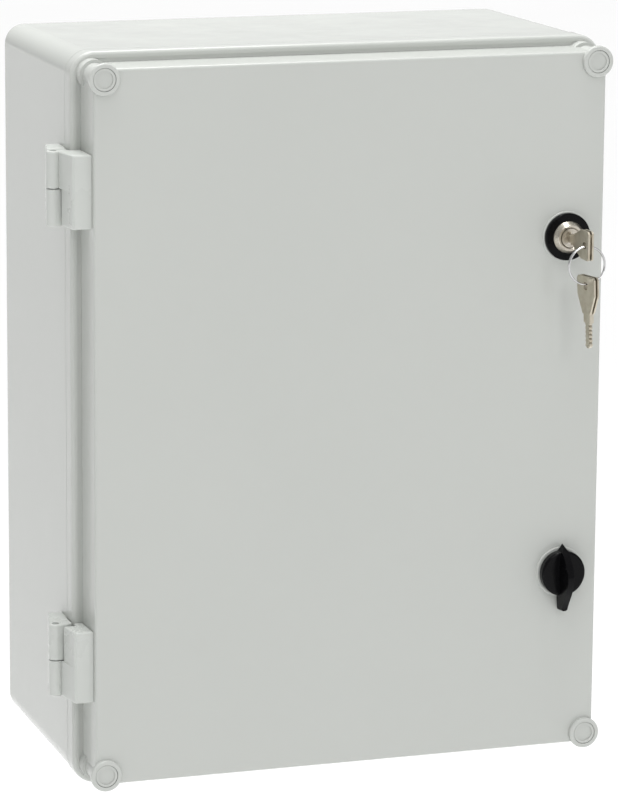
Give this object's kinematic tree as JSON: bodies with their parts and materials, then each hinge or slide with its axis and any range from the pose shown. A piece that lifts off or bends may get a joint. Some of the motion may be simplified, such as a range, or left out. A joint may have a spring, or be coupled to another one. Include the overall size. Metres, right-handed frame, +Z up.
{
  "type": "ac disconnect box",
  "caption": "Wall-mounted plastic AC disconnect box: side-hinged door with a key lock and a wing knob, mounting plate, rail-mounted switch, earth and neutral bars.",
  "frame": {"origin": "middle of the rear face that lies against the wall", "axes": "+Z up; the door faces -Y, so +Y points into the wall; +X to the right seen from the front"},
  "size_m": [0.313, 0.2082, 0.4],
  "materials": {
    "housing": "smooth moulded plastic with a soft gloss",
    "hinge_plastic": "moulded plastic",
    "gasket": "foamed sealing rubber",
    "nickel": "nickel plated brass, brushed",
    "key_steel": "stamped nickel plated steel",
    "black_plastic": "glossy black moulding",
    "zinc_steel": "zinc plated steel",
    "brass": "turned brass",
    "switch_plastic": "fine textured moulding",
    "toggle_plastic": "moulded plastic",
    "green_plastic": "moulded insulator",
    "blue_plastic": "moulded insulator"
  },
  "bodies": {
    "enclosure": {"base_shell": "housing", "hinge_base_leaf_lower": "hinge_plastic", "hinge_base_leaf_upper": "hinge_plastic", "hinge_base_screws": "zinc_steel", "hinge_pin_lower": "zinc_steel", "hinge_pin_upper": "zinc_steel", "mounting_plate": "zinc_steel", "plate_screws": "zinc_steel", "din_rail": "zinc_steel", "rail_screws": "zinc_steel", "switch_body": "switch_plastic", "switch_fixed_contacts": "brass", "switch_clamps": "zinc_steel", "switch_clamp_screws": "zinc_steel", "earth_bar": "brass", "earth_bar_feet": "green_plastic", "earth_bar_fixings": "zinc_steel", "earth_bar_screws": "zinc_steel", "neutral_bar": "brass", "neutral_bar_feet": "blue_plastic", "neutral_bar_fixings": "zinc_steel", "neutral_bar_screws": "zinc_steel"},
    "door": {"door_shell": "housing", "door_gasket": "gasket", "pillar_plugs": "housing", "hinge_door_leaf_lower": "hinge_plastic", "hinge_door_leaf_upper": "hinge_plastic", "hinge_door_screws": "zinc_steel", "lock_escutcheon": "black_plastic", "lock_housing": "nickel", "lock_nut": "zinc_steel", "knob_sleeve": "black_plastic", "knob_nut": "black_plastic"},
    "lock_cylinder": {"lock_barrel": "nickel", "lock_cam": "zinc_steel", "lock_cam_screw": "zinc_steel"},
    "lock_key": {"key": "key_steel"},
    "ring": {"key_ring": "nickel"},
    "hanging_key": {"spare_key": "key_steel"},
    "wing_knob": {"knob": "black_plastic", "knob_cam": "zinc_steel", "knob_cam_screw": "zinc_steel"},
    "switch_handle": {"switch_toggle": "toggle_plastic", "switch_contact_arms": "brass"},
    "rail_clip": {"din_clip": "toggle_plastic"}
  },
  "joints": [
    {"name": "door_swing", "type": "hinge", "parent": "enclosure", "child": "door", "pos_m": [-0.1593, -0.1455, 0], "axis": [0, 0, -1], "range_deg": [0, 170]},
    {"name": "lock_turn", "type": "hinge", "parent": "door", "child": "lock_cylinder", "pos_m": [0.1225, -0.16, 0.0934], "axis": [0, 1, 0], "range_deg": [0, 90]},
    {"name": "key_pull", "type": "slide", "parent": "lock_cylinder", "child": "lock_key", "axis": [0, -1, 0], "range_m": [0, 0.03]},
    {"name": "ring_swing", "type": "hinge", "parent": "lock_key", "child": "ring", "pos_m": [0.1225, -0.2, 0.0927], "axis": [0, 1, 0], "range_deg": [-10, 10]},
    {"name": "spare_key_swing", "type": "hinge", "parent": "ring", "child": "hanging_key", "pos_m": [0.1235, -0.2, 0.0721], "axis": [0, 1, 0], "range_deg": [-8, 8]},
    {"name": "knob_turn", "type": "hinge", "parent": "door", "child": "wing_knob", "pos_m": [0.1225, -0.16, -0.0945], "axis": [0, 1, 0], "range_deg": [0, 90]},
    {"name": "switch_throw", "type": "hinge", "parent": "enclosure", "child": "switch_handle", "pos_m": [-0.02, -0.077, 0.05], "axis": [-1, 0, 0], "range_deg": [0, 56]},
    {"name": "rail_clip_slide", "type": "slide", "parent": "enclosure", "child": "rail_clip", "axis": [0, 0, -1], "range_m": [0, 0.004], "stiffness_N_per_m": 1500, "springref_m": -0.002}
  ]
}
